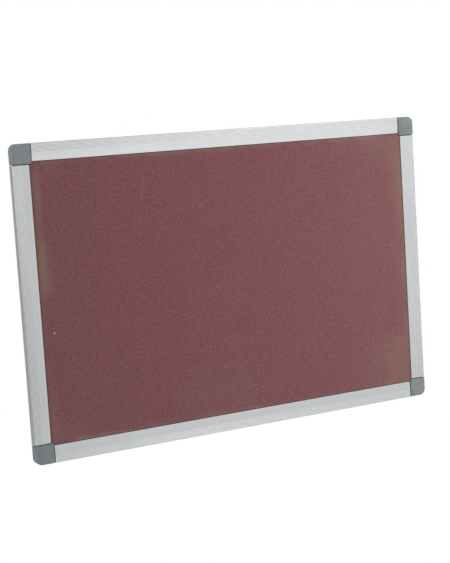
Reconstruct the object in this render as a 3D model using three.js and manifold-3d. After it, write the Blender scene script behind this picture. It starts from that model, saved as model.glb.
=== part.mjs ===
// Felt pinboard in an aluminium frame, for hanging on a wall.
//
// A softboard panel with a felt face sits in the slots of four extruded rails. The rails are cut
// square and meet in moulded corner pieces, whose legs slide into the rails and are held by small
// screws from the back. A wall screw goes through each corner piece, and a cap snaps over it.
//
// Millimetres. +X is right, +Y goes into the wall and +Z is up, seen from the front. The origin is in
// the wall's surface, behind the middle of the board. A height is a distance out from the wall, so a
// height of h lies at y = -h.

import * as THREE from 'three';
import { mergeVertices } from 'three/addons/utils/BufferGeometryUtils.js';
import Module from 'manifold-3d';

const wasm = await Module();
wasm.setup();

// Frame, over the outsides of its rails
const frameWidth = 600;
const frameHeight = 400;

// Rail, an extrusion with one closed chamber for the corner legs and one slot for the panel
const railWidth = 22;
const railWall = 1.2;
const railChamber = 10.3;
const railEdgeRadius = 1.1;
const railHeelRadius = 0.4;
const lipDrop = 0.9;
const lipRadius = 0.4;
const flangeReach = 7;

// Fine grooves that run along the outer half of a rail's face
const grooveCount = 7;
const groovePitch = 1.5;
const grooveWidth = 0.75;
const grooveDepth = 0.25;

// Panel, from its face to its back
const feltThickness = 1.8;
const coreThickness = 4.7;
const backingThickness = 0.6;
const glueLine = 0.1;
const panelPlay = 0.2;
const panelEdgePlay = 0.3;

// Press-on corner cap, flush with the outsides of the rails and proud of their faces
const capReach = 3;
const capProud = 0.5;
const capWall = 1.4;
const capGap = 1.2;
const capFootGap = 0.3;
const capCornerRadius = 8.8;
const capInnerRadius = 2;
const capEdgeRadius = 1.5;
const capInnerEdgeRadius = 0.4;
const capLipWall = 1.2;

// Split peg under the cap, with a bead that snaps into its socket
const pegRadius = 1.8;
const pegLength = 6;
const pegBead = 0.25;
const pegBeadLength = 1.6;
const pegTipLength = 0.9;
const pegSlit = 0.8;

// Corner piece
const cornerFit = 0.3;
const cornerBase = 1.2;
const screwHoleRadius = 2.3;
const screwSeatRadius = 4.2;
const screwSeatDepth = 3.6;

// Leg of the corner piece, a trough with cross ribs
const legBay = 8;
const baysPastScrew = 2;
const legWall = 1.5;
const legFloor = 2;
const legNose = 4;
const legNoseTaper = 1;
const crushRibWidth = 0.9;
const crushRibHeight = 0.15;

// Countersunk screw that holds a rail to a leg
const screwFromEnd = 12;
const screwRadius = 1.1;
const screwHeadRadius = 2.1;
const screwHeadHeight = 1;
const screwLength = 6.5;
const screwPoint = 1.5;
const driveLength = 2.4;
const driveWidth = 0.55;
const driveDepth = 0.7;
const screwFit = 0.3;

// How far a cutting shape runs past the face that it cuts
const overrun = 1;

// Facets on round things, and colours
const roundSides = 24;
const screwSides = 16;
const arcSteps = 5;
const grooveSteps = 4;
const edgeSteps = 3;
const colours = {
  aluminium: 0xc9ccce,
  plastic: 0x808789,
  felt: 0x7d5557,
  softboard: 0xa58a63,
  backing: 0x9a9184,
  steel: 0xb4b6b8,
};

// Heights of the layers, worked out from the wall forward
const backingHeight = railWall + panelPlay;
const coreHeight = backingHeight + backingThickness + glueLine;
const feltHeight = coreHeight + coreThickness + glueLine;
const feltFace = feltHeight + feltThickness;
const railDepth = feltFace + panelPlay + railWall + lipDrop;

// Places across a rail, from its outer side inwards
const webStart = railWall + railChamber;
const webEnd = webStart + railWall;
const panelInset = webEnd + panelEdgePlay;
const legCentre = railWall + railChamber / 2;
const legWidth = railChamber - 2 * cornerFit;

// Places along a rail, from the corner of the frame
const capSize = railWidth + capReach;
const railStart = capSize + capGap;
const screwPlace = railStart + screwFromEnd;
const legEnd = screwPlace + (baysPastScrew + 0.5) * legBay + legNose;

// Heights of the cap and of the corner piece under it
const capHeight = railDepth + capProud;
const capUnderside = capHeight - capWall;
const blockHeight = capUnderside - cornerFit;
const legLow = railWall + cornerFit;
const legHigh = railDepth - railWall - cornerFit;
const cornerStart = capWall + cornerFit;
const cornerRadius = Math.max(capCornerRadius - capWall - cornerFit, 0);
const blockEnd = panelInset - cornerFit;
const pegPlace = (blockEnd + capSize) / 2;
const socketRadius = pegRadius + pegBead + cornerFit;
const socketFloor = capUnderside - pegLength - cornerFit;
const screwHolePlace = (cornerStart + blockEnd) / 2;

// Drawing planes: a plan is drawn as seen from the front and rises from the wall, and a section is
// drawn across the bottom rail, inwards and out from the wall, and runs along it
const planToBoard = new THREE.Matrix4().makeBasis(
  new THREE.Vector3(1, 0, 0),
  new THREE.Vector3(0, 0, 1),
  new THREE.Vector3(0, -1, 0),
);
const sectionToBoard = new THREE.Matrix4().makeBasis(
  new THREE.Vector3(0, 0, 1),
  new THREE.Vector3(0, -1, 0),
  new THREE.Vector3(1, 0, 0),
);

// Turns a closed geometry into a solid that can be joined and cut
function solid(geometry) {
  const bare = geometry.clone();
  bare.deleteAttribute('normal');
  bare.deleteAttribute('uv');
  const merged = mergeVertices(bare);
  const mesh = new wasm.Mesh({
    numProp: 3,
    vertProperties: new Float32Array(merged.attributes.position.array),
    triVerts: new Uint32Array(merged.index.array),
  });
  return new wasm.Manifold(mesh);
}

// Turns a solid back into a geometry
function shapeOf(body) {
  const mesh = body.getMesh();
  const geometry = new THREE.BufferGeometry();
  geometry.setAttribute('position', new THREE.BufferAttribute(mesh.vertProperties, 3));
  geometry.setIndex(new THREE.BufferAttribute(mesh.triVerts, 1));
  geometry.computeVertexNormals();
  return geometry;
}

function join(first, ...others) {
  return others.reduce((body, geometry) => body.add(solid(geometry)), solid(first));
}

function cut(body, geometries) {
  return geometries.reduce((left, geometry) => left.subtract(solid(geometry)), body);
}

// Flat piece of a plan outline, between two heights
function slab(outline, low, high) {
  const options = { depth: high - low, bevelEnabled: false, curveSegments: arcSteps };
  const geometry = new THREE.ExtrudeGeometry(outline, options);
  return geometry.translate(0, 0, low).applyMatrix4(planToBoard);
}

// Slab with a rounded edge on its front and on its back
function roundedSlab(outline, low, high, radius) {
  const options = {
    depth: high - low - 2 * radius,
    bevelSize: radius,
    bevelOffset: -radius,
    bevelThickness: radius,
    bevelSegments: edgeSteps,
    curveSegments: arcSteps,
  };
  const geometry = new THREE.ExtrudeGeometry(outline, options);
  return geometry.translate(0, 0, low + radius).applyMatrix4(planToBoard);
}

function rectangle(left, bottom, right, top) {
  const outline = new THREE.Shape();
  outline.moveTo(left, bottom);
  outline.lineTo(right, bottom);
  outline.lineTo(right, top);
  outline.lineTo(left, top);
  outline.closePath();
  return outline;
}

// Round post or bore that stands out from the wall
function post(radius, x, z, low, high, sides = roundSides) {
  const geometry = new THREE.CylinderGeometry(radius, radius, high - low, sides);
  return geometry.translate(x, -(low + high) / 2, z);
}

// Square plan of a corner, with its outer and its inner corner rounded
function cornerPlan(start, end, outerRadius, innerRadius) {
  const outline = new THREE.Shape();
  outline.moveTo(end, start);
  if (innerRadius > 0) {
    outline.lineTo(end, end - innerRadius);
    outline.absarc(end - innerRadius, end - innerRadius, innerRadius, 0, Math.PI / 2);
  } else {
    outline.lineTo(end, end);
  }
  outline.lineTo(start, end);
  if (outerRadius > 0) {
    outline.lineTo(start, start + outerRadius);
    outline.absarc(start + outerRadius, start + outerRadius, outerRadius, Math.PI, 1.5 * Math.PI);
  } else {
    outline.lineTo(start, start);
  }
  outline.closePath();
  return outline;
}

// The same geometry for both arms of a corner: as drawn, along the bottom rail, and up the side rail
function bothArms(geometry) {
  const upright = geometry.clone().rotateY(-Math.PI / 2).translate(2 * legCentre, 0, 0);
  return [geometry, upright];
}

// Section of a rail: a grooved outer half, an inner half that slopes down to the lip over the felt,
// the slot for the panel behind it, and the closed chamber for the legs
function railSection() {
  const grooveBandEnd = railEdgeRadius + grooveCount * groovePitch;
  const lipHeight = railDepth - lipDrop;
  const slope = lipDrop / (railWidth - grooveBandEnd);
  const slotRoof = lipHeight - railWall + slope * (railWidth - webEnd);
  const outline = new THREE.Shape();
  outline.moveTo(0, railDepth - railEdgeRadius);
  outline.absarc(railEdgeRadius, railDepth - railEdgeRadius, railEdgeRadius, Math.PI, Math.PI / 2, true);
  for (let groove = 0; groove < grooveCount; groove += 1) {
    const middle = railEdgeRadius + (groove + 0.5) * groovePitch;
    const start = middle - grooveWidth / 2;
    outline.lineTo(start, railDepth);
    outline.quadraticCurveTo(middle, railDepth - 2 * grooveDepth, start + grooveWidth, railDepth);
  }
  outline.lineTo(grooveBandEnd, railDepth);
  outline.lineTo(railWidth - lipRadius, lipHeight + slope * lipRadius);
  outline.quadraticCurveTo(railWidth, lipHeight, railWidth, lipHeight - lipRadius);
  outline.lineTo(railWidth, lipHeight - railWall);
  outline.lineTo(webEnd, slotRoof);
  outline.lineTo(webEnd, railWall);
  outline.lineTo(webEnd + flangeReach, railWall);
  outline.lineTo(webEnd + flangeReach, 0);
  outline.lineTo(railHeelRadius, 0);
  outline.quadraticCurveTo(0, 0, 0, railHeelRadius);
  outline.closePath();
  outline.holes.push(rectangle(railWall, railWall, webStart, railDepth - railWall));
  return outline;
}

// Countersunk hole in a rail's back for the screw that holds the rail to a leg
function countersink(along) {
  const mouth = screwHeadRadius + screwFit;
  const slopeRun = (screwHeadRadius - screwRadius) / screwHeadHeight;
  const cone = new THREE.CylinderGeometry(
    mouth + slopeRun * overrun,
    mouth - slopeRun * screwHeadHeight,
    screwHeadHeight + overrun,
    screwSides,
  );
  cone.translate(along, (overrun - screwHeadHeight) / 2, legCentre);
  return [cone, post(screwRadius + screwFit, along, legCentre, -overrun, railWall + overrun, screwSides)];
}

function railGeometry(length) {
  const options = { depth: length, bevelEnabled: false, curveSegments: grooveSteps };
  const bar = new THREE.ExtrudeGeometry(railSection(), options);
  bar.translate(0, 0, -length / 2).applyMatrix4(sectionToBoard);
  const place = length / 2 - screwFromEnd;
  return shapeOf(cut(solid(bar), [...countersink(-place), ...countersink(place)]));
}

// Small countersunk screw with a cross recess, drawn with its axis out from the wall
function screwGeometry() {
  const profile = [
    new THREE.Vector2(0, 0),
    new THREE.Vector2(screwHeadRadius, 0),
    new THREE.Vector2(screwRadius, -screwHeadHeight),
    new THREE.Vector2(screwRadius, screwPoint - screwLength),
    new THREE.Vector2(0, -screwLength),
  ];
  const turned = new THREE.LatheGeometry(profile.reverse(), screwSides);
  const slotDepth = driveDepth + overrun;
  const slots = [
    new THREE.BoxGeometry(driveLength, slotDepth, driveWidth),
    new THREE.BoxGeometry(driveWidth, slotDepth, driveLength),
  ];
  slots.forEach((slot) => slot.translate(0, slotDepth / 2 - driveDepth, 0));
  return shapeOf(cut(solid(turned), slots));
}

// Leg along the bottom rail: its root stands on the base under the cap, and the rest slides into the
// rail's chamber up to a tapered nose
function legParts() {
  const low = legCentre - legWidth / 2;
  const high = legCentre + legWidth / 2;
  const bar = new THREE.Shape();
  bar.moveTo(capSize - overrun, low);
  bar.lineTo(legEnd - legNose, low);
  bar.lineTo(legEnd, low + legNoseTaper);
  bar.lineTo(legEnd, high - legNoseTaper);
  bar.lineTo(legEnd - legNose, high);
  bar.lineTo(capSize - overrun, high);
  bar.closePath();
  const ribStart = railStart + cornerFit;
  const ribEnd = legEnd - legNose;
  const rib = (z) => rectangle(ribStart, z - crushRibHeight, ribEnd, z + crushRibHeight);
  const middle = (legLow + legHigh) / 2;
  return [
    slab(rectangle(blockEnd - overrun, low, capSize, high), 0, blockHeight),
    slab(bar, legLow, legHigh),
    slab(rib(low), middle - crushRibWidth / 2, middle + crushRibWidth / 2),
    slab(rib(high), middle - crushRibWidth / 2, middle + crushRibWidth / 2),
  ];
}

// Troughs in a leg, open to the front. The bay with the rail's screw stays solid, and the first
// trough runs out under the joint between cap and rail.
function legTroughs() {
  const low = legCentre - legWidth / 2 + legWall;
  const high = legCentre + legWidth / 2 - legWall;
  const floor = legLow + legFloor;
  const top = blockHeight + overrun;
  const halfBay = (legBay - legWall) / 2;
  const troughs = [rectangle(capSize - legWall, low, screwPlace - legBay + halfBay, high)];
  for (let bay = 1; bay <= baysPastScrew; bay += 1) {
    const centre = screwPlace + bay * legBay;
    troughs.push(rectangle(centre - halfBay, low, centre + halfBay, high));
  }
  return troughs.map((outline) => slab(outline, floor, top));
}

// Corner piece, drawn for the bottom left corner of the frame
function cornerGeometry() {
  const base = slab(cornerPlan(cornerStart, capSize, cornerRadius, capInnerRadius), 0, cornerBase);
  const block = slab(cornerPlan(cornerStart, blockEnd, cornerRadius, 0), 0, blockHeight);
  const body = join(base, block, ...legParts().flatMap(bothArms));
  const socket = post(socketRadius, pegPlace, legCentre, socketFloor, blockHeight + overrun);
  const pilotEnd = screwLength + screwFit;
  const pilot = post(screwRadius + screwFit, screwPlace, legCentre, 0, pilotEnd, screwSides);
  const seatFloor = blockHeight - screwSeatDepth;
  return shapeOf(cut(body, [
    ...legTroughs().flatMap(bothArms),
    ...bothArms(socket),
    ...bothArms(pilot),
    post(screwHoleRadius, screwHolePlace, screwHolePlace, -overrun, blockHeight),
    post(screwSeatRadius, screwHolePlace, screwHolePlace, seatFloor, blockHeight + overrun),
  ]));
}

// Split snap peg under the cap, over the socket in a leg's root
function pegGeometry() {
  const tip = pegLength - pegTipLength;
  const profile = [
    new THREE.Vector2(0, -pegLength),
    new THREE.Vector2(pegRadius - pegBead, -pegLength),
    new THREE.Vector2(pegRadius + pegBead, -tip),
    new THREE.Vector2(pegRadius, pegBeadLength - tip),
    new THREE.Vector2(pegRadius, capWall / 2),
    new THREE.Vector2(0, capWall / 2),
  ];
  const turned = new THREE.LatheGeometry(profile, roundSides);
  const slitLength = pegLength - pegBeadLength;
  const slit = new THREE.BoxGeometry(pegSlit, slitLength + overrun, 2 * pegRadius + 2 * overrun);
  slit.translate(0, (slitLength - overrun) / 2 - pegLength, 0);
  const peg = shapeOf(cut(solid(turned), [slit]));
  return peg.rotateX(Math.PI).translate(pegPlace, -capUnderside, legCentre);
}

// Lip on the cap's two inner sides, which reaches down to the felt
function capLipPlan() {
  const inner = capSize - capLipWall;
  const outline = new THREE.Shape();
  outline.moveTo(panelInset, inner);
  outline.lineTo(inner, inner);
  outline.lineTo(inner, panelInset);
  outline.lineTo(capSize, panelInset);
  outline.lineTo(capSize, capSize - capInnerRadius);
  outline.absarc(capSize - capInnerRadius, capSize - capInnerRadius, capInnerRadius, 0, Math.PI / 2);
  outline.lineTo(panelInset, capSize);
  outline.closePath();
  return outline;
}

// Cap, drawn for the bottom left corner: a shell that is open at the back and towards both rails
function capGeometry() {
  const past = capSize + capEdgeRadius + overrun;
  const before = -capInnerEdgeRadius - overrun;
  const deep = capFootGap - overrun;
  const outerSides = cornerPlan(0, past, capCornerRadius, 0);
  const outside = roundedSlab(outerSides, deep - capEdgeRadius, capHeight, capEdgeRadius);
  const innerSides = cornerPlan(before, capSize, 0, capInnerRadius);
  const inside = roundedSlab(innerSides, deep - capInnerEdgeRadius, capHeight, capInnerEdgeRadius);
  const trim = slab(rectangle(before, before, past, past), capFootGap, capHeight + overrun);
  const hollowRadius = Math.max(capCornerRadius - capWall, 0);
  const hollow = slab(cornerPlan(capWall, past, hollowRadius, 0), deep, capUnderside);
  const lipTop = capUnderside + capWall / 2;
  const lip = slab(capLipPlan(), feltFace + cornerFit, lipTop);
  const shell = solid(outside).intersect(solid(inside)).intersect(solid(trim)).subtract(solid(hollow));
  const pegs = bothArms(pegGeometry());
  return shapeOf([lip, ...pegs].reduce((body, geometry) => body.add(solid(geometry)), shell));
}

// Finishes
function finish(colour, roughness, metalness) {
  return new THREE.MeshStandardMaterial({ color: colour, roughness, metalness });
}

function mesh(name, geometry, material) {
  const part = new THREE.Mesh(geometry, material);
  part.name = name;
  return part;
}

// Panel: felt on softboard, with a backing sheet that keeps it flat
function layer(name, low, thickness, material) {
  const across = frameWidth / 2 - panelInset;
  const up = frameHeight / 2 - panelInset;
  return mesh(name, slab(rectangle(-across, -up, across, up), low, low + thickness), material);
}

const board = new THREE.Group();
board.add(layer('felt_cover', feltHeight, feltThickness, finish(colours.felt, 0.95, 0)));
board.add(layer('softboard_core', coreHeight, coreThickness, finish(colours.softboard, 0.9, 0)));
board.add(layer('backing_sheet', backingHeight, backingThickness, finish(colours.backing, 0.85, 0)));

// Frame: each side is turned a quarter from the one before, clockwise from the bottom
const acrossLength = frameWidth - 2 * railStart;
const upLength = frameHeight - 2 * railStart;
const sides = [
  { side: 'bottom', corner: 'bottom_left', length: acrossLength, out: frameHeight / 2, start: frameWidth / 2 },
  { side: 'left', corner: 'top_left', length: upLength, out: frameWidth / 2, start: frameHeight / 2 },
  { side: 'top', corner: 'top_right', length: acrossLength, out: frameHeight / 2, start: frameWidth / 2 },
  { side: 'right', corner: 'bottom_right', length: upLength, out: frameWidth / 2, start: frameHeight / 2 },
];

const corner = cornerGeometry();
const cap = capGeometry();
const screw = screwGeometry();

sides.forEach(({ side, corner: cornerName, length, out, start }, turn) => {
  const quarter = new THREE.Group();
  quarter.rotation.y = (turn * Math.PI) / 2;

  const rail = mesh(`rail_${side}`, railGeometry(length), finish(colours.aluminium, 0.4, 1));
  rail.position.set(0, 0, -out);

  const cornerPiece = mesh(`corner_${cornerName}`, corner.clone(), finish(colours.plastic, 0.5, 0));
  cornerPiece.position.set(-start, 0, -out);

  const cornerCap = mesh(`cap_${cornerName}`, cap.clone(), finish(colours.plastic, 0.45, 0));
  cornerCap.position.set(-start, 0, -out);

  quarter.add(rail, cornerPiece, cornerCap);
  [-1, 1].forEach((end, index) => {
    const name = `rail_screw_${side}_${index + 1}`;
    const railScrew = mesh(name, screw.clone(), finish(colours.steel, 0.35, 1));
    railScrew.position.set(end * (start - screwPlace), 0, legCentre - out);
    quarter.add(railScrew);
  });
  board.add(quarter);
});

export default board;
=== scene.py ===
"""A felt pinboard in an aluminium frame, dressed in the order in which it is put together."""

import math
import random

import bmesh
import bpy
from mathutils import Matrix, Vector, noise


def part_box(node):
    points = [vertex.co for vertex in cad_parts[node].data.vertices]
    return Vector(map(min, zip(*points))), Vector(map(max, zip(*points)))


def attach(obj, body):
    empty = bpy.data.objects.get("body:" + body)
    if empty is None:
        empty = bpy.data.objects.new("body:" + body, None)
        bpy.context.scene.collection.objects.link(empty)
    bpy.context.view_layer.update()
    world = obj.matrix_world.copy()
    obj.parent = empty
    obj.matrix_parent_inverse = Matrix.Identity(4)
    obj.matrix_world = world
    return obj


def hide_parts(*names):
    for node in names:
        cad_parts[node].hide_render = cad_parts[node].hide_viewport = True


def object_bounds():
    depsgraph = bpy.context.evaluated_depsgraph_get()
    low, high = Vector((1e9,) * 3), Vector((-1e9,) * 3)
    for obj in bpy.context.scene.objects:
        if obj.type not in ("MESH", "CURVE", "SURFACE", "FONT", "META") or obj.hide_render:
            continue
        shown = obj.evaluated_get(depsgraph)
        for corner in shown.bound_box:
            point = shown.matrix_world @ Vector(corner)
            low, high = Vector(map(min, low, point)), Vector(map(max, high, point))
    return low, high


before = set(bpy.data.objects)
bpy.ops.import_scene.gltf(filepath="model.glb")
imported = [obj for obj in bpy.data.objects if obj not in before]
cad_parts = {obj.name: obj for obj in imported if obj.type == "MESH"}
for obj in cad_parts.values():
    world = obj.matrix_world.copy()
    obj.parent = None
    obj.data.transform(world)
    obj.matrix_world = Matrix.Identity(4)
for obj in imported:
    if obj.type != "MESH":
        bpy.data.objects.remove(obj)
cad_low, cad_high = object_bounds()


# Backing sheet. Grey board of pressed waste paper, 0.6 mm thick, glued over the whole back of the
# softboard so that the panel stays flat. Its face is dull and cloudy, with flecks of old print and
# short fibres pressed into it, and a few rubs from handling.

def new_finish(name):
    finish = bpy.data.materials.new(name)
    finish.use_nodes = True
    finish.node_tree.nodes.clear()
    return finish


def node(tree, kind, sockets, **settings):
    made = tree.nodes.new("ShaderNode" + kind)
    for name, value in settings.items():
        setattr(made, name, value)
    for key, value in sockets.items():
        if isinstance(value, bpy.types.NodeSocket):
            tree.links.new(value, made.inputs[key])
        else:
            made.inputs[key].default_value = value
    return made


def spread(tree, scale=(1, 1, 1), turn=(0, 0, 0)):
    """Where a point lies on the board, turned and then stretched."""
    here = node(tree, "TexCoord", {}).outputs["Object"]
    if any(turn):
        here = node(tree, "Mapping", {"Vector": here, "Rotation": turn}).outputs["Vector"]
    return node(tree, "Mapping", {"Vector": here, "Scale": scale}).outputs["Vector"]


def cloud(tree, where, scale, detail=2.0, rough=0.5, swirl=0.0):
    sockets = {"Vector": where, "Scale": scale, "Detail": detail, "Roughness": rough, "Distortion": swirl}
    return node(tree, "TexNoise", sockets).outputs["Fac"]


def step(tree, value, start, end):
    """0 up to start, 1 from end on and smooth between them, counting up or down."""
    sockets = {"Value": value, "From Min": start, "From Max": end}
    return node(tree, "MapRange", sockets, interpolation_type="SMOOTHSTEP").outputs["Result"]


def cells(tree, where, scale, core, reach):
    """Round specks strewn at random: 1 in their core, and 0 beyond their reach."""
    away = node(tree, "TexVoronoi", {"Vector": where, "Scale": scale}).outputs["Distance"]
    return step(tree, away, reach, core)


def maths(tree, operation, first, second=0.0):
    return node(tree, "Math", {0: first, 1: second}, operation=operation).outputs[0]


def times(tree, first, *others):
    for other in others:
        first = maths(tree, "MULTIPLY", first, other)
    return first


def plus(tree, first, *others):
    for other in others:
        first = maths(tree, "ADD", first, other)
    return first


def tint(tree, share, under, over):
    """Colour under, covered by colour over as far as share goes."""
    pair = [tone if isinstance(tone, bpy.types.NodeSocket) else (*tone, 1) for tone in (under, over)]
    return node(tree, "Mix", {0: share, 6: pair[0], 7: pair[1]}, data_type="RGBA").outputs[2]


def relief(tree, height, depth, below=None):
    sockets = {"Height": height, "Distance": depth, "Strength": 1.0}
    if below:
        sockets["Normal"] = below
    return node(tree, "Bump", sockets).outputs["Normal"]


def coat(finish, colour, roughness, normal, **fixed):
    """The finish's colour, roughness and relief, and the numbers that are the same all over."""
    tree = finish.node_tree
    sockets = {"Base Color": colour, "Roughness": roughness, "Normal": normal}
    sockets.update({name.replace("_", " "): value for name, value in fixed.items()})
    surface = node(tree, "BsdfPrincipled", sockets)
    node(tree, "OutputMaterial", {"Surface": surface.outputs["BSDF"]})


def dress(finish, *names):
    for name in names:
        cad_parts[name].material_slots[0].material = finish


grey_board = new_finish("grey_board")
tree = grey_board.node_tree
flat = spread(tree)
pulp = cloud(tree, flat, 26, 5, 0.6)
mottle = cloud(tree, flat, 240, 3, 0.6)
fibre_one = cloud(tree, spread(tree, (160, 1, 1900), (0, 0.5, 0)), 1, 2, 0.5, 0.4)
fibre_two = cloud(tree, spread(tree, (1700, 1, 190), (0, 0.3, 0)), 1, 2, 0.5, 0.4)
fibre = maths(tree, "MAXIMUM", fibre_one, fibre_two)
shade = plus(tree, times(tree, pulp, 0.55), times(tree, mottle, 0.45))
colour = tint(tree, step(tree, shade, 0.33, 0.67), (0.255, 0.222, 0.182), (0.375, 0.335, 0.280))
colour = tint(tree, times(tree, step(tree, fibre, 0.60, 0.78), 0.45), colour, (0.50, 0.46, 0.40))
ink = times(tree, cells(tree, flat, 210, 0.05, 0.16), step(tree, cloud(tree, flat, 95), 0.50, 0.62))
colour = tint(tree, times(tree, ink, 0.75), colour, (0.10, 0.10, 0.115))
straw = times(tree, cells(tree, spread(tree, (1, 1, 0.35), (0, 0.7, 0)), 150, 0.04, 0.15), 0.5)
colour = tint(tree, straw, colour, (0.43, 0.33, 0.19))
scuff = cloud(tree, spread(tree, (9, 1, 420), (0, -0.35, 0)), 1, 3, 0.6)
rub = times(tree, step(tree, scuff, 0.66, 0.78), 0.28)
colour = tint(tree, rub, colour, (0.56, 0.53, 0.48))
damp = step(tree, cloud(tree, flat, 5.5, 4, 0.55, 0.6), 0.56, 0.70)
colour = tint(tree, times(tree, damp, 0.22), colour, (0.21, 0.172, 0.13))
gloss = plus(tree, 0.78, times(tree, mottle, 0.14), times(tree, rub, -0.3))
bumps = relief(tree, plus(tree, times(tree, fibre, 0.6), mottle), 0.00012)
coat(grey_board, colour, gloss, relief(tree, pulp, 0.0006, bumps), Specular_IOR_Level=0.35)
dress(grey_board, "backing_sheet")


# Softboard core. Wood fibre felted with water and dried, 4.7 mm thick, soft enough for a pin to go in
# and stiff enough to hold it. It is glued between the felt and the backing sheet, and only its edges
# could be seen, down in the slots of the rails.

softboard = new_finish("softboard")
tree = softboard.node_tree
flat = spread(tree)
clump = cloud(tree, flat, 130, 5, 0.65)
strand_one = cloud(tree, spread(tree, (220, 1200, 1500), (0, 0.9, 0)), 1, 3, 0.6, 0.8)
strand_two = cloud(tree, spread(tree, (1400, 1300, 240), (0, 0.2, 0)), 1, 3, 0.6, 0.8)
strand = maths(tree, "MAXIMUM", strand_one, strand_two)
colour = tint(tree, step(tree, clump, 0.3, 0.7), (0.235, 0.150, 0.075), (0.42, 0.30, 0.17))
colour = tint(tree, times(tree, step(tree, strand, 0.55, 0.75), 0.7), colour, (0.58, 0.44, 0.27))
bark = times(tree, cells(tree, flat, 330, 0.05, 0.2), step(tree, cloud(tree, flat, 80), 0.5, 0.6))
colour = tint(tree, bark, colour, (0.09, 0.05, 0.028))
gloss = plus(tree, 0.84, times(tree, clump, 0.12))
coat(softboard, colour, gloss, relief(tree, plus(tree, strand, clump), 0.0003), Specular_IOR_Level=0.2)
dress(softboard, "softboard_core")


# Felt. Burgundy polyester needle felt, 1.8 mm thick, glued to the softboard with its rim pressed under
# the rails' lips. The barbed needles leave a fine mottled nap. Light and damp have faded it to a greenish
# brown along its rim and in the corners, and a narrow strip along the right lip is painted light against
# the lip's shadow. Painted shade darkens it in a thin band along the top, bottom and left lips, widest at
# the left, and the felt hidden under the lips is painted near black. One old pin left a brownish ring with
# a painted highlight in its middle.

felt_low, felt_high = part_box("felt_cover")
felt_wide = felt_high.x - felt_low.x
felt_tall = felt_high.z - felt_low.z
lip_x, lip_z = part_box("rail_right")[0].x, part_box("rail_top")[0].z
felt_mesh_step, most_faded_and_lit = 0.002, 1.7
crown_run, crown_height, tuft_height, swell_height = 0.004, 0.00012, 0.00007, 0.00006
# Middle across and up, reach across and up, all in millimetres, and strength of each faded place, one of
# them a strip of painted light
faded_and_lit_places = [
    (-80, 179, 88, 6, 1.10),
    (-228, 179, 30, 7, 0.60),
    (45, 179, 55, 6, 0.55),
    (190, 179, 85, 6, 0.75),
    (-165, 179, 48, 7, 0.50),
    (0, 179, 300, 10, 0.28),
    (-278, 110, 13, 58, 0.66),
    (-269, 118, 5, 50, 0.50),
    (-278, 42, 21, 36, 0.86),
    (-269, 48, 7, 36, 0.55),
    (-252, 166, 20, 11, 0.22),
    (-279, -60, 9, 62, 0.35),
    (-278, -8, 12, 20, 0.38),
    (-277, -138, 19, 30, 0.72),
    (-262, -168, 40, 17, 0.42),
    (-212, -179, 46, 7, 1.40),
    (-163, -179, 44, 6, 0.50),
    (-15, -179, 62, 7, 0.40),
    (-160, -179, 60, 13, 0.28),
    (0, -179, 300, 7, 0.40),
    (-30, -155, 65, 42, 0.18),
    (268, -150, 32, 40, 0.40),
    (250, -146, 52, 46, 0.25),
    (225, -140, 45, 45, 0.12),
    (279, -100, 9, 40, 0.50),
    (279, -20, 8, 60, 0.45),
    (277, -12, 13, 13, 0.50),
    # Painted light: a narrow strip along the right lip, lightening the felt where the lip's shadow falls
    (279, 0, 4, 200, 1.00),
    (280, 85, 9, 95, 0.55),
    (276, 100, 15, 70, 0.55),
    (258, 160, 46, 36, 0.24),
    (225, 168, 95, 22, 0.20),
    (280, 15, 24, 190, 0.24),
    (235, 60, 75, 150, 0.10),
    (266, -172, 34, 13, 0.35),
]
pin_x, pin_z, pin_highlight, pin_halo = -0.2615, -0.037, 0.0014, 0.0024
# How far in from the lips the painted shade along them begins, wider at the left, and where it is darkest
lip_shade_start_left, lip_shade_start, lip_shade_end = 0.0032, 0.0014, 0.0003


def fading_and_lit(x, z):
    """How far the felt has faded at a place, with painted light along the right lip, from 0 to the most
    allowed.
    """
    paled = 0.0
    for middle_x, middle_z, reach_x, reach_z, strength in faded_and_lit_places:
        across, up = abs(x * 1000 - middle_x) / reach_x, abs(z * 1000 - middle_z) / reach_z
        far = (across ** 3 + up ** 3) ** (1 / 3) + 0.35 * noise.noise(Vector((x * 38, 1.3, z * 38)))
        share = max(0.0, min(1.0, 1.25 - far))
        paled += strength * share * share * (3 - 2 * share)
    ragged = 1 + 0.3 * noise.noise(Vector((x * 95, 3.7, z * 95)))
    return min(paled * ragged, most_faded_and_lit)


def nap_rise(x, z):
    """How far the felt's face stands proud of its mean plane: a little fuller away from the lips."""
    inside = min(lip_x - abs(x), lip_z - abs(z))
    crown = max(0.0, min(1.0, inside / crown_run))
    tuft = noise.fractal(Vector((x * 420, 0, z * 420)), 0.7, 2.0, 3)
    swell = noise.noise(Vector((x * 16, 5.0, z * 16)))
    return crown * (crown_height + tuft_height * tuft + swell_height * swell)


sheet = bmesh.new()
across, up = round(felt_wide / felt_mesh_step), round(felt_tall / felt_mesh_step)
bmesh.ops.create_grid(sheet, x_segments=across, y_segments=up, size=0.5)
stand = Matrix.Translation((0, felt_low.y, 0)) @ Matrix.Rotation(math.pi / 2, 4, "X")
bmesh.ops.transform(sheet, matrix=stand @ Matrix.Diagonal((felt_wide, felt_tall, 1, 1)), verts=sheet.verts)
rim = [edge for edge in sheet.edges if edge.is_boundary]
for vert in sheet.verts:
    vert.co.y -= nap_rise(vert.co.x, vert.co.z)
turned = bmesh.ops.extrude_edge_only(sheet, edges=rim)["geom"]
back_edges = [item for item in turned if isinstance(item, bmesh.types.BMEdge) and item.is_boundary]
for vert in (item for item in turned if isinstance(item, bmesh.types.BMVert)):
    vert.co.y = felt_high.y
bmesh.ops.contextual_create(sheet, geom=back_edges)
bmesh.ops.recalc_face_normals(sheet, faces=sheet.faces)
fade_and_light_layer = sheet.verts.layers.float.new("fade_and_light")
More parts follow.
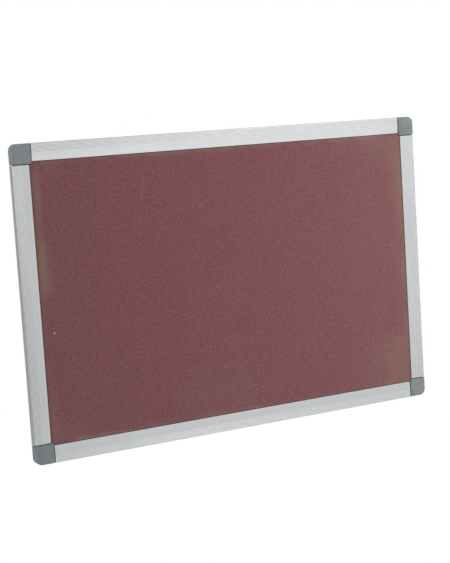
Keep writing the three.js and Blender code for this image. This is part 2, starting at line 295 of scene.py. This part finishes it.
for vert in sheet.verts:
    vert[fade_and_light_layer] = fading_and_lit(vert.co.x, vert.co.z)
felt_mesh = bpy.data.meshes.new("felt_face")
sheet.to_mesh(felt_mesh)
sheet.free()
felt_mesh.shade_smooth()
felt_face = bpy.data.objects.new("felt_face", felt_mesh)
bpy.context.scene.collection.objects.link(felt_face)

needle_felt = new_finish("needle_felt")
tree = needle_felt.node_tree
flat = spread(tree)
bend = node(tree, "TexNoise", {"Vector": flat, "Scale": 170, "Detail": 1.0}).outputs["Color"]
bend = node(tree, "VectorMath", {0: bend, 1: (0.5, 0.5, 0.5)}, operation="SUBTRACT").outputs[0]
bend = node(tree, "VectorMath", {0: bend, 1: (0.006, 0, 0.006)}, operation="MULTIPLY").outputs[0]
curled = node(tree, "VectorMath", {0: flat, 1: bend}, operation="ADD").outputs[0]


def fibres(turn, long, thin):
    """Fine fibres that lie one way round, 1 along their middles and 0 between them."""
    turned = node(tree, "Mapping", {"Vector": curled, "Rotation": (0, turn, 0)}).outputs["Vector"]
    drawn = node(tree, "Mapping", {"Vector": turned, "Scale": (long, 1, thin)}).outputs["Vector"]
    return step(tree, cloud(tree, drawn, 1, 1, 0.4), 0.57, 0.68)


tufts = cloud(tree, flat, 430, 2, 0.55, 0.5)
knots = cloud(tree, flat, 1300, 2, 0.6, 0.8)
drift = cloud(tree, flat, 9, 3, 0.5)
colour = tint(tree, step(tree, tufts, 0.30, 0.70), (0.171, 0.058, 0.067), (0.277, 0.107, 0.122))
colour = tint(tree, times(tree, step(tree, knots, 0.54, 0.34), 0.35), colour, (0.107, 0.033, 0.040))
lay = 0.0
fibre_tones = [(0.199, 0.066, 0.078), (0.272, 0.102, 0.119), (0.352, 0.149, 0.166), (0.445, 0.207, 0.228)]
for layer in range(2 * len(fibre_tones)):
    over = fibres(0.35 + 1.93 * layer, 300 + 35 * (layer % 3), 6200 + 700 * (layer % 4))
    colour = tint(tree, times(tree, over, 0.5), colour, fibre_tones[layer // 2])
    lay = plus(tree, times(tree, lay, 0.7), over)
colour = tint(tree, times(tree, step(tree, drift, 0.42, 0.62), 0.10), colour, (0.263, 0.120, 0.096))
# Faded colour from the attribute, which also holds the strip of painted light along the right lip
fade_and_light = node(tree, "Attribute", {}, attribute_name="fade_and_light").outputs["Fac"]
ragged = plus(tree, 0.55, times(tree, tufts, 0.9))
share = times(tree, fade_and_light, ragged)
colour = tint(tree, maths(tree, "MINIMUM", times(tree, share, 0.62), 1.0), colour, (0.292, 0.185, 0.143))
place = node(tree, "SeparateXYZ", {"Vector": flat})
out_x = maths(tree, "ABSOLUTE", place.outputs["X"])
out_z = maths(tree, "ABSOLUTE", place.outputs["Z"])
out_left = times(tree, place.outputs["X"], -1.0)
# Painted shade along the top, bottom and left lips, wider at the left where the left lip's shadow falls
lip_shade_left = step(tree, out_left, lip_x - lip_shade_start_left, lip_x - lip_shade_start)
lip_shade_across = step(tree, out_z, lip_z - lip_shade_start, lip_z - lip_shade_end)
lip_shade = maths(tree, "MAXIMUM", times(tree, lip_shade_left, 0.4), times(tree, lip_shade_across, 0.75))
colour = tint(tree, lip_shade, colour, (0.045, 0.022, 0.024))
# Painted shade: the felt hidden under the lips, seen only through the gaps at the caps, is painted near
# black
under_x = step(tree, out_x, lip_x - 0.0002, lip_x + 0.0004)
under_z = step(tree, out_z, lip_z - 0.0002, lip_z + 0.0004)
under_lip_shade = maths(tree, "MAXIMUM", under_x, under_z)
colour = tint(tree, times(tree, under_lip_shade, 0.92), colour, (0.020, 0.012, 0.013))
off_x = maths(tree, "SUBTRACT", place.outputs["X"], pin_x)
off_z = maths(tree, "SUBTRACT", place.outputs["Z"], pin_z)
long_way = plus(tree, times(tree, off_x, 0.50), times(tree, off_z, -0.24))
short_way = plus(tree, times(tree, off_x, 0.43), times(tree, off_z, 0.90))
squares = plus(tree, times(tree, long_way, long_way), times(tree, short_way, short_way))
from_pin = maths(tree, "SQRT", squares)
halo = times(tree, step(tree, from_pin, pin_halo, pin_halo / 2), 0.35)
colour = tint(tree, halo, colour, (0.120, 0.085, 0.060))
# Painted highlight in the middle of the pin mark
colour = tint(tree, step(tree, from_pin, pin_highlight, 0.0006), colour, (0.60, 0.40, 0.42))
gloss = plus(tree, 0.86, times(tree, knots, 0.1))
height = plus(tree, times(tree, lay, 0.3), times(tree, knots, 0.5), times(tree, tufts, 0.8))
coat(
    needle_felt, colour, gloss, relief(tree, height, 0.00022),
    Specular_IOR_Level=0.15, Sheen_Weight=0.25, Sheen_Roughness=0.5, Sheen_Tint=(0.9, 0.72, 0.72, 1),
)
felt_mesh.materials.append(needle_felt)
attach(felt_face, "board")
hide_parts("felt_cover")

# Loose ends of the felt's own fibres, 3 to 8 mm long and 0.07 mm thick, lying on the nap
nap_count, nap_points, nap_thickness = 4500, 5, 0.00007
nap_root_inset, nap_tip_inset, nap_sink = 0.002, 0.0005, 0.00001
root_x, root_z = lip_x - nap_root_inset, lip_z - nap_root_inset
tip_x, tip_z = lip_x - nap_tip_inset, lip_z - nap_tip_inset
nap = bpy.data.curves.new("felt_nap", "CURVE")
nap.dimensions = "3D"
nap.bevel_depth = nap_thickness / 2
nap.bevel_resolution = 0
fall = random.Random(11)
for _ in range(nap_count):
    x, z = fall.uniform(-root_x, root_x), fall.uniform(-root_z, root_z)
    heading, curl = fall.uniform(0, 2 * math.pi), fall.gauss(0, 0.45)
    length, lift = fall.uniform(0.003, 0.008), fall.uniform(0.00002, 0.00022)
    strand = nap.splines.new("POLY")
    strand.points.add(nap_points - 1)
    for index, point in enumerate(strand.points):
        rise = lift * math.sin(math.pi * index / (nap_points - 1)) - nap_sink
        point.co = (x, felt_low.y - nap_rise(x, z) - rise, z, 1)
        heading += curl
        x = max(-tip_x, min(tip_x, x + math.cos(heading) * length / nap_points))
        z = max(-tip_z, min(tip_z, z + math.sin(heading) * length / nap_points))
nap_curve = bpy.data.objects.new("felt_nap_curve", nap)
bpy.context.scene.collection.objects.link(nap_curve)
bpy.context.view_layer.update()
nap_shape = nap_curve.evaluated_get(bpy.context.evaluated_depsgraph_get())
nap_mesh = bpy.data.meshes.new_from_object(nap_shape)
bpy.data.objects.remove(nap_curve)
nap_mesh.name = "felt_nap"
tone = nap_mesh.attributes.new("tone", "FLOAT", "POINT")
ring = len(nap_mesh.vertices) // nap_count
shades = [fall.random() for _ in range(nap_count)]
point_shades = [shades[min(index // ring, nap_count - 1)] for index in range(len(nap_mesh.vertices))]
tone.data.foreach_set("value", point_shades)
felt_nap = bpy.data.objects.new("felt_nap", nap_mesh)
bpy.context.scene.collection.objects.link(felt_nap)

loose_fibre = new_finish("loose_fibre")
tree = loose_fibre.node_tree
own = node(tree, "Attribute", {}, attribute_name="tone").outputs["Fac"]
colour = tint(tree, own, (0.199, 0.071, 0.076), (0.438, 0.207, 0.207))
fuzz = cloud(tree, spread(tree), 4000)
colour = tint(tree, times(tree, fuzz, 0.3), colour, (0.386, 0.251, 0.237))
gloss = plus(tree, 0.65, times(tree, fuzz, 0.2))
coat(loose_fibre, colour, gloss, relief(tree, fuzz, 0.00002), Sheen_Weight=0.3)
nap_mesh.materials.clear()
nap_mesh.materials.append(loose_fibre)
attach(felt_nap, "board")


# Rails. Aluminium extruded through one die, cut square with a fine saw and satin anodised. Die lines run
# along each rail and the sawn ends are bright. The ribs' crowns carry a painted highlight and their
# grooves are painted dark, partly dirt and partly painted shade. The outer rim is painted dark as shade,
# darkest on its faces that look up, and the plain inner halves of the bottom and left rails carry a little
# painted shade. The rails grip the panel and slide over the corner pieces' legs.

rail_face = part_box("rail_top")[0].y
# How far in from a rail's outside its ribs start and end, and how far its rim's painted shade reaches
ribs_start, ribs_end, rim_reach = 0.0010, 0.0118, 0.0011
# How far below a rail's face its grooves go, and how far the ribs' painted highlight and shade reach
groove_depth, ribs_foot = 0.00025, 0.0006


def anodised(name, length_axis, outside):
    """Satin anodised aluminium for the rails along X (0) or Z (2), which reach out as far as outside."""
    finish = new_finish(name)
    tree = finish.node_tree

    def along(lengthwise, crosswise):
        return [lengthwise if axis == length_axis else crosswise for axis in range(3)]

    flat = spread(tree)
    lines = cloud(tree, spread(tree, along(2.2, 2600)), 1, 3, 0.6)
    bands = cloud(tree, spread(tree, along(1.1, 260)), 1, 2, 0.5)
    etch = cloud(tree, flat, 2600, 2, 0.6)
    smear = cloud(tree, flat, 11, 4, 0.6, 0.4)
    streaks = cloud(tree, spread(tree, along(7, 2300)), 1, 2, 0.5)
    colour = tint(tree, step(tree, lines, 0.3, 0.7), (0.719, 0.737, 0.748), (0.785, 0.802, 0.811))
    colour = tint(tree, times(tree, step(tree, bands, 0.42, 0.62), 0.22), colour, (0.860, 0.876, 0.880))
    colour = tint(tree, times(tree, step(tree, smear, 0.50, 0.66), 0.18), colour, (0.563, 0.582, 0.593))
    scratch = times(tree, step(tree, streaks, 0.735, 0.78), step(tree, smear, 0.45, 0.6))
    colour = tint(tree, times(tree, scratch, 0.6), colour, (0.82, 0.83, 0.84))
    speck = times(tree, cells(tree, flat, 60, 0.012, 0.028), step(tree, cloud(tree, flat, 21), 0.56, 0.60))
    colour = tint(tree, times(tree, speck, 0.7), colour, (0.12, 0.12, 0.125))
    place = node(tree, "SeparateXYZ", {"Vector": flat})
    across = place.outputs[2 - length_axis]
    inwards = maths(tree, "SUBTRACT", outside, maths(tree, "ABSOLUTE", across))
    sunk = maths(tree, "SUBTRACT", place.outputs["Y"], rail_face)
    ribbed = step(tree, inwards, ribs_start, ribs_start + 0.0003)
    ribbed = times(tree, ribbed, step(tree, inwards, ribs_end, ribs_end - 0.0004))
    ribbed = times(tree, ribbed, step(tree, sunk, ribs_foot + 0.0002, ribs_foot))
    # Painted highlight on the ribs' crowns, and dirt with painted shade down in the grooves
    groove = step(tree, sunk, 0.00002, groove_depth - 0.00003)
    crown = maths(tree, "SUBTRACT", 1.0, groove)
    colour = tint(tree, times(tree, ribbed, crown, 0.5), colour, (0.95, 0.955, 0.96))
    colour = tint(tree, times(tree, ribbed, groove, 0.70), colour, (0.36, 0.365, 0.37))
    # Painted shade on the plain inner half of the bottom and left rails
    plain = step(tree, inwards, ribs_end - 0.0006, ribs_end - 0.0002)
    shade_low_left = step(tree, across, 0.1, -0.1)
    colour = tint(tree, times(tree, plain, shade_low_left, 0.08), colour, (0.22, 0.30, 0.35))
    # Painted shade on the outer rim, darker still on its faces that look up
    rim_shade = step(tree, inwards, rim_reach, rim_reach - 0.0008)
    colour = tint(tree, times(tree, rim_shade, 0.65), colour, (0.36, 0.37, 0.38))
    facing = node(tree, "SeparateXYZ", {"Vector": node(tree, "NewGeometry", {}).outputs["Normal"]})
    dust_and_shade = times(tree, rim_shade, step(tree, facing.outputs["Z"], 0.3, 0.8), 0.3)
    colour = tint(tree, dust_and_shade, colour, (0.30, 0.30, 0.29))
    sawn = step(tree, maths(tree, "ABSOLUTE", facing.outputs[length_axis]), 0.7, 0.95)
    saw_marks = (1, 160, 2100) if length_axis == 0 else (2100, 2100, 1)
    kerf = cloud(tree, spread(tree, saw_marks), 1, 2, 0.5)
    bright = tint(tree, kerf, (0.66, 0.67, 0.68), (0.88, 0.885, 0.89))
    colour = tint(tree, sawn, colour, bright)
    gloss = plus(tree, 0.33, times(tree, smear, 0.07), times(tree, lines, 0.06))
    gloss = plus(tree, gloss, times(tree, scratch, -0.08), times(tree, sawn, 0.05))
    fine = relief(tree, plus(tree, times(tree, lines, 0.6), times(tree, streaks, 0.4)), 0.000025)
    fine = relief(tree, etch, 0.000012, fine)
    fine = relief(tree, times(tree, kerf, sawn), 0.00004, fine)
    cross = node(tree, "CombineXYZ", {"Z" if length_axis == 0 else "X": 1.0}).outputs[0]
    coat(finish, colour, gloss, fine, Metallic=1.0, Anisotropic=0.8, Tangent=cross)
    return finish


dress(anodised("anodised_across", 0, cad_high.z), "rail_bottom", "rail_top")
dress(anodised("anodised_up", 2, cad_high.x), "rail_left", "rail_right")


# Corner pieces. Glass-filled plastic, moulded in one shot: a base against the wall with a hole for the
# wall screw, two sockets for the cap's pegs, and two legs pushed into the rails' chambers. The fill
# leaves pale flow marks, and the base has rubbed on the wall.

moulded = new_finish("moulded_corner")
tree = moulded.node_tree
flat = spread(tree)
flow = cloud(tree, flat, 95, 4, 0.6, 2.2)
grit = cloud(tree, flat, 1900, 2, 0.6)
glass = cloud(tree, spread(tree, (260, 260, 2400), (0, 0.6, 0)), 1, 2, 0.5, 0.6)
colour = tint(tree, step(tree, flow, 0.35, 0.68), (0.118, 0.132, 0.138), (0.178, 0.195, 0.200))
colour = tint(tree, times(tree, step(tree, glass, 0.62, 0.76), 0.30), colour, (0.30, 0.32, 0.325))
place = node(tree, "SeparateXYZ", {"Vector": flat}).outputs["Y"]
rubbed = step(tree, cloud(tree, flat, 260, 3, 0.6), 0.46, 0.62)
rubbed = times(tree, rubbed, step(tree, place, -0.0002, -0.00002))
colour = tint(tree, times(tree, rubbed, 0.45), colour, (0.34, 0.355, 0.36))
gloss = plus(tree, 0.46, times(tree, flow, 0.16), times(tree, rubbed, 0.15))
coat(moulded, colour, gloss, relief(tree, plus(tree, grit, times(tree, glass, 0.5)), 0.00003))
corner_names = ["bottom_left", "top_left", "top_right", "bottom_right"]
dress(moulded, *["corner_" + name for name in corner_names])


# Rail screws. Small countersunk steel screws with a cross recess, zinc-plated, driven from the back
# through each rail end into the corner's leg. The plating is cloudy and a little yellow, and painted shade
# darkens it down in the recess.

plated = new_finish("zinc_plate")
tree = plated.node_tree
flat = spread(tree)
bloom = cloud(tree, flat, 620, 3, 0.6, 0.8)
pits = cloud(tree, flat, 3400, 2, 0.6)
colour = tint(tree, step(tree, bloom, 0.35, 0.65), (0.50, 0.49, 0.45), (0.70, 0.71, 0.72))
place = node(tree, "SeparateXYZ", {"Vector": flat}).outputs["Y"]
# Painted shade down in the cross recess
recess_shade = step(tree, place, -0.00012, -0.0005)
colour = tint(tree, times(tree, recess_shade, 0.6), colour, (0.16, 0.155, 0.145))
gloss = plus(tree, 0.24, times(tree, bloom, 0.2), times(tree, recess_shade, 0.2))
coat(plated, colour, gloss, relief(tree, plus(tree, pits, bloom), 0.00002), Metallic=1.0)
for side in ("bottom", "left", "top", "right"):
    dress(plated, f"rail_screw_{side}_1", f"rail_screw_{side}_2")


# Corner caps. Thin grey plastic shells with a fine spark-eroded texture, pressed on over the wall
# screws. Painted shade darkens the caps on the right, the top right one most, and the bottom left one a
# little. Each is flush with the rails' outsides, 0.5 mm proud of their faces and open towards them, with a
# lip down to the felt and two split pegs for its corner piece.

cap_low, cap_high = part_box("cap_bottom_left")
cap_end = cap_high.x - cap_low.x
cap_front, cap_foot = -cap_low.y, -cap_high.y
cap_wall, cap_lip_wall = 0.0014, 0.0012
cap_under = cap_front - cap_wall
cap_corner, cap_inner_corner = 0.0088, 0.002
cap_edge, cap_inner_edge = 0.0015, 0.0004
cap_lip_start, cap_lip_foot = 0.013, 0.009
leg_centre = 0.00635
peg_place, peg_radius, peg_length = 0.01885, 0.0018, 0.006
peg_bead, peg_bead_height, peg_neck_height = 0.00025, 0.0009, 0.0025
peg_slit, peg_root = 0.0008, 0.0016
# How far a cutting shape reaches past what it cuts, and how near counts as touching
spare, hair = 0.001, 1e-6


def corner_block(start, end, low, high, outer_radius=0.0, inner_radius=0.0):
    """A square block over a corner's plan, with its outer and its inner upright edge rounded."""
    block = bmesh.new()
    bmesh.ops.create_grid(block, x_segments=1, y_segments=1, size=0.5)
    size, middle = end - start, (start + end) / 2
    lay_out = Matrix.Translation((middle, middle, low)) @ Matrix.Diagonal((size, size, 1, 1))
    bmesh.ops.transform(block, matrix=lay_out, verts=block.verts)
    corners = sorted(block.verts, key=lambda vert: vert.co.x + vert.co.y)
    for vert, radius, segments in ((corners[0], outer_radius, 20), (corners[-1], inner_radius, 8)):
        if radius:
            bmesh.ops.bevel(
                block, geom=[vert], offset=radius, segments=segments,
                profile=0.5, affect="VERTICES", material=-1,
            )
    raised = bmesh.ops.extrude_face_region(block, geom=block.faces[:])["geom"]
    lifted = [item for item in raised if isinstance(item, bmesh.types.BMVert)]
    bmesh.ops.translate(block, vec=(0, 0, high - low), verts=lifted)
    bmesh.ops.recalc_face_normals(block, faces=block.faces)
    return block


def as_object(name, shape):
    mesh = bpy.data.meshes.new(name)
    shape.to_mesh(mesh)
    shape.free()
    made = bpy.data.objects.new(name, mesh)
    bpy.context.scene.collection.objects.link(made)
    return made


def combine(target, tool, operation):
    """Joins tool to target or cuts it away, and removes tool."""
    change = target.modifiers.new("change", "BOOLEAN")
    change.operation, change.object, change.solver = operation, tool, "EXACT"
    bpy.context.view_layer.update()
    changed = bpy.data.meshes.new_from_object(target.evaluated_get(bpy.context.evaluated_depsgraph_get()))
    target.modifiers.clear()
    target.data = changed
    bpy.data.objects.remove(tool)


def split_peg(x, y):
    """A round peg with a bead near its tip, hanging from the cap's underside, split by a slit."""
    peg = bmesh.new()
    outline = [
        (0, -peg_length),
        (peg_radius - peg_bead, -peg_length),
        (peg_radius + peg_bead, peg_bead_height - peg_length),
        (peg_radius, peg_neck_height - peg_length),
        (peg_radius, cap_wall / 2),
        (0, cap_wall / 2),
    ]
    points = [peg.verts.new((across, 0, height)) for across, height in outline]
    strip = [peg.edges.new(pair) for pair in zip(points, points[1:])]
    bmesh.ops.spin(
        peg, geom=points + strip, cent=(0, 0, 0), axis=(0, 0, 1),
        angle=2 * math.pi, steps=32, use_merge=True,
    )
    bmesh.ops.remove_doubles(peg, verts=peg.verts, dist=hair)
    bmesh.ops.recalc_face_normals(peg, faces=peg.faces)
    bmesh.ops.translate(peg, vec=(x, y, cap_under), verts=peg.verts)
    made = as_object("peg", peg)
    slit = bmesh.new()
    bmesh.ops.create_cube(slit, size=1)
    size = (peg_slit, 2 * (peg_radius + spare), peg_length - peg_root + spare)
    lay_out = Matrix.Translation((x, y, cap_under - peg_length - spare + size[2] / 2))
    lay_out = lay_out @ Matrix.Rotation(math.pi / 2 if x < y else 0, 4, "Z")
    bmesh.ops.transform(slit, matrix=lay_out @ Matrix.Diagonal((*size, 1)), verts=slit.verts)
    combine(made, as_object("slit", slit), "DIFFERENCE")
    return made


def front_edges(shape):
    """The edges that lie in the cap's front face."""
    return [edge for edge in shape.edges if all(vert.co.z > cap_front - hair for vert in edge.verts)]


def cap_shell():
    """The cap for the bottom left corner, drawn as seen from the front, with its height along Z."""
    outside = corner_block(0, cap_end, cap_foot, cap_front, cap_corner, cap_inner_corner)
    rounded = 0.3 * cap_corner
    outer_edges = [
        edge for edge in front_edges(outside)
        if all(min(vert.co.x, vert.co.y) < rounded for vert in edge.verts)
    ]
    bmesh.ops.bevel(
        outside, geom=outer_edges, offset=cap_edge, segments=6,
        profile=0.5, affect="EDGES", material=-1,
    )
    nearly_square = 1.3
    inner_edges = [edge for edge in front_edges(outside) if edge.calc_face_angle(0) > nearly_square]
    bmesh.ops.bevel(
        outside, geom=inner_edges, offset=cap_inner_edge, segments=3,
        profile=0.5, affect="EDGES", material=-1,
    )
    shell = as_object("cap_shell", outside)
    hollow = corner_block(cap_wall, cap_end + spare, cap_foot - spare, cap_under, cap_corner - cap_wall)
    combine(shell, as_object("hollow", hollow), "DIFFERENCE")
    outer = corner_block(cap_lip_start, cap_end, cap_lip_foot, cap_under + spare / 2, 0, cap_inner_corner)
    lip = as_object("lip", outer)
    inner = corner_block(cap_lip_start - spare, cap_end - cap_lip_wall, cap_lip_foot - spare, cap_front)
    combine(lip, as_object("inner", inner), "DIFFERENCE")
    combine(shell, lip, "UNION")
    combine(shell, split_peg(peg_place, leg_centre), "UNION")
    combine(shell, split_peg(leg_centre, peg_place), "UNION")
    return shell


eroded = new_finish("eroded_plastic")
tree = eroded.node_tree
flat = spread(tree)
spark = cloud(tree, flat, 2300, 3, 0.65)
patch = cloud(tree, flat, 75, 4, 0.6, 0.8)
colour = tint(tree, step(tree, patch, 0.32, 0.68), (0.237, 0.270, 0.272), (0.297, 0.330, 0.334))
colour = tint(tree, times(tree, step(tree, spark, 0.35, 0.7), 0.35), colour, (0.352, 0.390, 0.394))
place = node(tree, "SeparateXYZ", {"Vector": flat})
# Painted shade on the caps: most at the top right, less at the bottom right and bottom left, none at the
# top left
at_right = step(tree, place.outputs["X"], -0.1, 0.1)
at_bottom = step(tree, place.outputs["Z"], 0.1, -0.1)
cap_shade = plus(tree, times(tree, at_right, 0.21), times(tree, at_bottom, 0.10))
cap_shade = plus(tree, cap_shade, times(tree, at_right, at_bottom, -0.16))
colour = tint(tree, cap_shade, colour, (0.0, 0.012, 0.022))
facing = node(tree, "NewGeometry", {}).outputs["Normal"]
lean = node(tree, "VectorMath", {0: facing}, operation="ABSOLUTE").outputs[0]
lean = node(tree, "SeparateXYZ", {"Vector": lean})
square = maths(tree, "MAXIMUM", maths(tree, "MAXIMUM", lean.outputs[0], lean.outputs[1]), lean.outputs[2])
edge_wear = step(tree, cloud(tree, flat, 310, 3, 0.6), 0.38, 0.66)
edge_wear = times(tree, edge_wear, step(tree, square, 0.985, 0.80))
colour = tint(tree, times(tree, edge_wear, 0.45), colour, (0.38, 0.41, 0.415))
nick = cloud(tree, spread(tree, (90, 90, 2600), (0, 0.8, 0)), 1, 2, 0.5)
nick = times(tree, step(tree, nick, 0.715, 0.76), step(tree, patch, 0.48, 0.6))
colour = tint(tree, times(tree, nick, 0.6), colour, (0.42, 0.45, 0.455))
gloss = plus(tree, 0.44, times(tree, spark, 0.14), times(tree, edge_wear, -0.12), times(tree, nick, -0.1))
coat(eroded, colour, gloss, relief(tree, spark, 0.00013), Specular_IOR_Level=0.35)

# The cap is drawn once and turned by quarters to each corner, clockwise from the bottom left
cap_drawn = cap_shell()
for turn, name in enumerate(corner_names):
    half_wide, half_tall = cad_high.x, cad_high.z
    if turn % 2:
        half_wide, half_tall = half_tall, half_wide
    mesh = cap_drawn.data.copy()
    drawn_to_board = Matrix(((1, 0, 0, -half_wide), (0, 0, -1, 0), (0, 1, 0, -half_tall), (0, 0, 0, 1)))
    mesh.transform(Matrix.Rotation(math.pi / 2 * turn, 4, "Y") @ drawn_to_board)
    mesh.name = "corner_cap_" + name
    mesh.shade_smooth()
    mesh.set_sharp_from_angle(angle=math.radians(32))
    mesh.materials.clear()
    mesh.materials.append(eroded)
    cap = bpy.data.objects.new(mesh.name, mesh)
    bpy.context.scene.collection.objects.link(cap)
    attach(cap, "loose_cap_" + name)
    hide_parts("cap_" + name)
bpy.data.objects.remove(cap_drawn)


# Studio. A pale floor well below the board, soft lamps, and a camera to the left of the board and a
# little above it. The camera sees a white surround, while the metal mirrors bands of light and shade as
# in a photographer's tent.

floor_radius, floor_drop = 1.15, 0.9
floor_shape = bmesh.new()
bmesh.ops.create_circle(floor_shape, cap_ends=True, radius=floor_radius, segments=96)
bmesh.ops.translate(floor_shape, vec=(0, 0, -floor_drop), verts=floor_shape.verts)
floor = as_object("floor", floor_shape)
pale = new_finish("pale_floor")
tree = pale.node_tree
dust_and_shade = cloud(tree, spread(tree), 40, 4)
colour = tint(tree, dust_and_shade, (0.80, 0.80, 0.80), (0.84, 0.84, 0.84))
gloss = plus(tree, 0.7, times(tree, dust_and_shade, 0.1))
coat(pale, colour, gloss, relief(tree, dust_and_shade, 0.0005))
floor.data.materials.append(pale)

# How bright the surround is as a light, and the tent's front and back as mirrored in the metal
room_light, tent_front, tent_back = 0.3, 1.3, 0.57
# Height from the nadir (0) to the zenith (1), and how bright the tent is there
tent_bands = [(0.125, 1.0), (0.30, 1.0), (0.40, 0.35), (0.50, 0.26), (0.62, 0.0), (0.80, 0.80)]
surround = bpy.data.worlds.new("surround")
bpy.context.scene.world = surround
surround.use_nodes = True
surround.cycles.sampling_method = "NONE"
tree = surround.node_tree
tree.nodes.clear()
ray = node(tree, "LightPath", {})
seen = maths(tree, "MAXIMUM", ray.outputs["Is Camera Ray"], ray.outputs["Is Transmission Ray"])
white = node(tree, "Background", {"Color": (1, 1, 1, 1), "Strength": 1.0})
room = node(tree, "Background", {"Color": (1, 1, 1, 1), "Strength": room_light})
way = node(tree, "SeparateXYZ", {"Vector": node(tree, "TexCoord", {}).outputs["Generated"]})
height = node(tree, "MapRange", {"Value": way.outputs["Z"], "From Min": -1.0}).outputs[0]
bands = node(tree, "ValToRGB", {"Fac": height})
stops = bands.color_ramp.elements
while len(stops) < len(tent_bands):
    stops.new(0.5)
for stop, (level, strength) in zip(stops, tent_bands):
    stop.position, stop.color = level, (strength, strength, strength, 1)
behind = step(tree, way.outputs["Y"], -0.1, 0.1)
before = times(tree, maths(tree, "SUBTRACT", 1.0, behind), tent_front)
mirrored = plus(tree, times(tree, bands.outputs["Color"], before), times(tree, behind, tent_back))
tent = node(tree, "Background", {"Color": (1, 1, 1, 1), "Strength": mirrored})
mirrors = ray.outputs["Is Glossy Ray"]
mixed = node(tree, "MixShader", {0: mirrors, 1: room.outputs[0], 2: tent.outputs[0]})
mixed = node(tree, "MixShader", {0: seen, 1: mixed.outputs[0], 2: white.outputs[0]})
node(tree, "OutputWorld", {"Surface": mixed.outputs[0]})


def soft_lamp(name, place, target, width, height, power, shine=True):
    """A rectangular lamp aimed at target. Without shine the metal doesn't mirror it."""
    lamp = bpy.data.lights.new(name, "AREA")
    lamp.shape = "RECTANGLE"
    lamp.size, lamp.size_y, lamp.energy = width, height, power
    made = bpy.data.objects.new(name, lamp)
    made.location = place
    made.rotation_mode = "QUATERNION"
    made.rotation_quaternion = (Vector(target) - Vector(place)).to_track_quat("-Z", "Y")
    made.visible_camera = False
    made.visible_glossy = shine
    bpy.context.scene.collection.objects.link(made)


soft_lamp("left", (-1.9, -0.35, 0.3), (-0.2, 0, 0), 0.9, 0.9, 10.4)
soft_lamp("right", (1.7, -0.5, 0.1), (0.1, 0, 0), 0.8, 1.2, 10.2)
soft_lamp("front", (0.5, -1.9, 0.6), (0, 0, 0), 0.9, 0.5, 1.3)
soft_lamp("near_middle", (0.45, -0.8, 0.1), (0.1, 0, 0), 0.6, 0.6, 0.29)
soft_lamp("near_right", (0.9, -0.7, 0.3), (0.1, 0, 0), 0.5, 0.5, 0.24)
soft_lamp("near_top", (0.6, -0.35, 0.9), (0.1, 0, 0), 0.8, 0.4, 2.4)
soft_lamp("even", (0.9, -0.8, 0.2), (0.1, 0, 0), 0.6, 0.6, 4.0, shine=False)
soft_lamp("back", (0, 1.3, 0), (0, 0, 0), 0.55, 0.35, 9, shine=False)

view = bpy.data.cameras.new("view")
view.sensor_fit = "VERTICAL"
view.sensor_height = 36
view.lens = 89.148
camera = bpy.data.objects.new("view", view)
camera.location = (-0.8879, -1.6232, 0.2205)
turn_right, tip, roll = math.radians(28.373), math.radians(-6.8491), math.radians(3.653)
ahead = Vector((math.sin(turn_right) * math.cos(tip), math.cos(turn_right) * math.cos(tip), math.sin(tip)))
upright = ahead.to_track_quat("-Z", "Y").to_matrix()
camera.rotation_mode = "QUATERNION"
camera.rotation_quaternion = (upright @ Matrix.Rotation(-roll, 3, "Z")).to_quaternion()
bpy.context.scene.collection.objects.link(camera)
bpy.context.scene.camera = camera
bpy.context.scene.view_settings.view_transform = "Standard"
